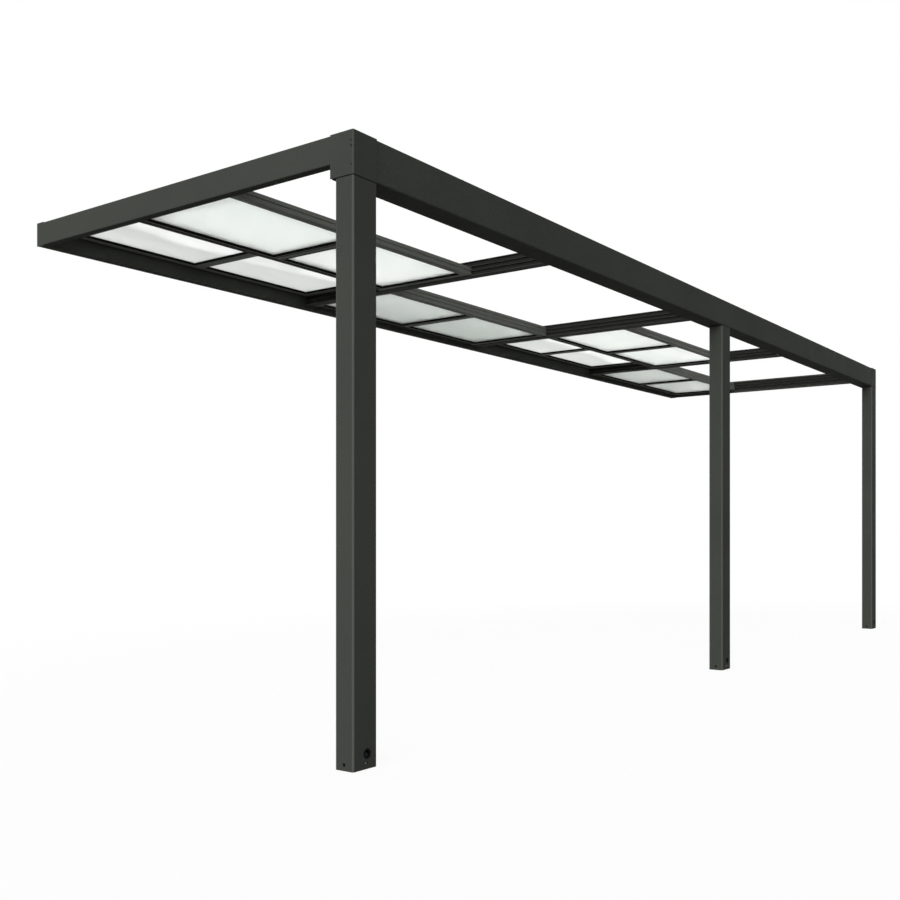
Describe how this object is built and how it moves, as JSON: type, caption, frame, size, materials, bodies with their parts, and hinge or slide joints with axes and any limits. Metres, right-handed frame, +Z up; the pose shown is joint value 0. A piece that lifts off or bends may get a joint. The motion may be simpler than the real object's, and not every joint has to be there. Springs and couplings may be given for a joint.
{
  "type": "patio cover",
  "caption": "Wall-mounted aluminium patio cover on front posts, with a gutter beam, rafters and sliding opal glass roof panels.",
  "frame": {"origin": "on the ground, under the middle of the middle post's foot", "axes": "+X along the gutter to the right as seen from the garden, +Y from the gutter to the wall, +Z up"},
  "size_m": [8, 2.25, 2.633],
  "materials": {
    "powder_coated_aluminium": "anthracite grey powder coat, fine satin texture",
    "opal_glass": "milky laminated safety glass, smooth",
    "bare_aluminium": "mill finish"
  },
  "bodies": {
    "cover": {"post_left": "powder_coated_aluminium", "post_middle": "powder_coated_aluminium", "post_right": "powder_coated_aluminium", "post_feet": "bare_aluminium", "gutter_beam_left": "powder_coated_aluminium", "gutter_beam_right": "powder_coated_aluminium", "gutter_front_left": "powder_coated_aluminium", "gutter_front_right": "powder_coated_aluminium", "gutter_back_left": "powder_coated_aluminium", "gutter_back_right": "powder_coated_aluminium", "corner_cap_left": "powder_coated_aluminium", "corner_cap_right": "powder_coated_aluminium", "side_beam_left": "powder_coated_aluminium", "side_beam_right": "powder_coated_aluminium", "rafter_left": "powder_coated_aluminium", "rafter_middle": "powder_coated_aluminium", "rafter_right": "powder_coated_aluminium", "rafter_brackets": "powder_coated_aluminium", "wall_plate_left": "powder_coated_aluminium", "wall_plate_right": "powder_coated_aluminium", "wall_caps": "powder_coated_aluminium", "wall_panel_frame_1": "powder_coated_aluminium", "wall_panel_frame_2": "powder_coated_aluminium", "wall_panel_frame_3": "powder_coated_aluminium", "wall_panel_frame_4": "powder_coated_aluminium", "wall_panel_glass_1": "opal_glass", "wall_panel_glass_2": "opal_glass", "wall_panel_glass_3": "opal_glass", "wall_panel_glass_4": "opal_glass"},
    "front_panel_1": {"front_panel_frame_1": "powder_coated_aluminium", "front_panel_glass_1": "opal_glass"},
    "middle_panel_1": {"middle_panel_frame_1": "powder_coated_aluminium", "middle_panel_glass_1": "opal_glass"},
    "front_panel_2": {"front_panel_frame_2": "powder_coated_aluminium", "front_panel_glass_2": "opal_glass"},
    "middle_panel_2": {"middle_panel_frame_2": "powder_coated_aluminium", "middle_panel_glass_2": "opal_glass"},
    "front_panel_3": {"front_panel_frame_3": "powder_coated_aluminium", "front_panel_glass_3": "opal_glass"},
    "middle_panel_3": {"middle_panel_frame_3": "powder_coated_aluminium", "middle_panel_glass_3": "opal_glass"},
    "front_panel_4": {"front_panel_frame_4": "powder_coated_aluminium", "front_panel_glass_4": "opal_glass"},
    "middle_panel_4": {"middle_panel_frame_4": "powder_coated_aluminium", "middle_panel_glass_4": "opal_glass"}
  },
  "joints": [
    {"name": "front_panel_1_slide", "type": "slide", "parent": "cover", "child": "front_panel_1", "axis": [0, 1, 0], "range_m": [-0.67223, 0.66753]},
    {"name": "middle_panel_1_slide", "type": "slide", "parent": "cover", "child": "middle_panel_1", "axis": [0, 1, 0], "range_m": [0, 0.66753]},
    {"name": "front_panel_2_slide", "type": "slide", "parent": "cover", "child": "front_panel_2", "axis": [0, 1, 0], "range_m": [-1.33977, 0]},
    {"name": "middle_panel_2_slide", "type": "slide", "parent": "cover", "child": "middle_panel_2", "axis": [0, 1, 0], "range_m": [-0.66753, 0]},
    {"name": "front_panel_3_slide", "type": "slide", "parent": "cover", "child": "front_panel_3", "axis": [0, 1, 0], "range_m": [-0.67223, 0.66753]},
    {"name": "middle_panel_3_slide", "type": "slide", "parent": "cover", "child": "middle_panel_3", "axis": [0, 1, 0], "range_m": [0, 0.66753]},
    {"name": "front_panel_4_slide", "type": "slide", "parent": "cover", "child": "front_panel_4", "axis": [0, 1, 0], "range_m": [-1.33977, 0]},
    {"name": "middle_panel_4_slide", "type": "slide", "parent": "cover", "child": "middle_panel_4", "axis": [0, 1, 0], "range_m": [-0.66753, 0]}
  ]
}
